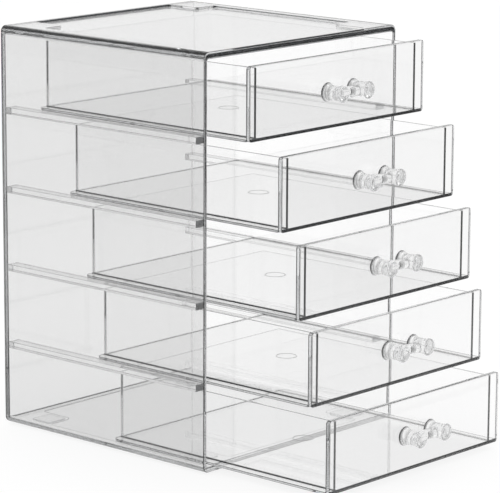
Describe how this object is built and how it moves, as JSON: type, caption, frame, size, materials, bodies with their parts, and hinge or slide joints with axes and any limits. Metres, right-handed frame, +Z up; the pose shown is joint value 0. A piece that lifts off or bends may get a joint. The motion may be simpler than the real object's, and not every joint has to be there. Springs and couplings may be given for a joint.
{
  "type": "desk organizer",
  "caption": "Clear upright desk organizer: an open-fronted cabinet with a stack of drawers that slide out on side rails, each with a clear H-shaped handle.",
  "frame": {"origin": "on the table, under the middle of the organizer's bounding box with its drawers pulled out as stored", "axes": "+Z up; -Y is the way the drawers come out; +X to the right seen from the front"},
  "size_m": [0.17, 0.2698, 0.2471],
  "materials": {
    "clear_shell": "clear, polished",
    "clear_rail": "clear, polished",
    "clear_tray": "clear, polished",
    "clear_front": "clear, polished",
    "clear_handle": "clear, polished",
    "clear_foot": "clear, soft satin"
  },
  "bodies": {
    "cabinet": {"cabinet_shell": "clear_shell", "back_panel": "clear_shell", "left_rail_1": "clear_rail", "left_rail_2": "clear_rail", "left_rail_3": "clear_rail", "left_rail_4": "clear_rail", "right_rail_1": "clear_rail", "right_rail_2": "clear_rail", "right_rail_3": "clear_rail", "right_rail_4": "clear_rail", "foot_front_left": "clear_foot", "foot_front_right": "clear_foot", "foot_back_left": "clear_foot", "foot_back_right": "clear_foot"},
    "drawer_1": {"tray_1": "clear_tray", "front_1": "clear_front", "handle_1": "clear_handle"},
    "drawer_2": {"tray_2": "clear_tray", "front_2": "clear_front", "handle_2": "clear_handle"},
    "drawer_3": {"tray_3": "clear_tray", "front_3": "clear_front", "handle_3": "clear_handle"},
    "drawer_4": {"tray_4": "clear_tray", "front_4": "clear_front", "handle_4": "clear_handle"},
    "drawer_5": {"tray_5": "clear_tray", "front_5": "clear_front", "handle_5": "clear_handle"}
  },
  "joints": [
    {"name": "drawer_1_slide", "type": "slide", "parent": "cabinet", "child": "drawer_1", "axis": [0, -1, 0], "range_m": [-0.0224, 0.1021]},
    {"name": "drawer_2_slide", "type": "slide", "parent": "cabinet", "child": "drawer_2", "axis": [0, -1, 0], "range_m": [-0.0468, 0.0777]},
    {"name": "drawer_3_slide", "type": "slide", "parent": "cabinet", "child": "drawer_3", "axis": [0, -1, 0], "range_m": [-0.0605, 0.064]},
    {"name": "drawer_4_slide", "type": "slide", "parent": "cabinet", "child": "drawer_4", "axis": [0, -1, 0], "range_m": [-0.07, 0.0545]},
    {"name": "drawer_5_slide", "type": "slide", "parent": "cabinet", "child": "drawer_5", "axis": [0, -1, 0], "range_m": [-0.0837, 0.0408]}
  ]
}
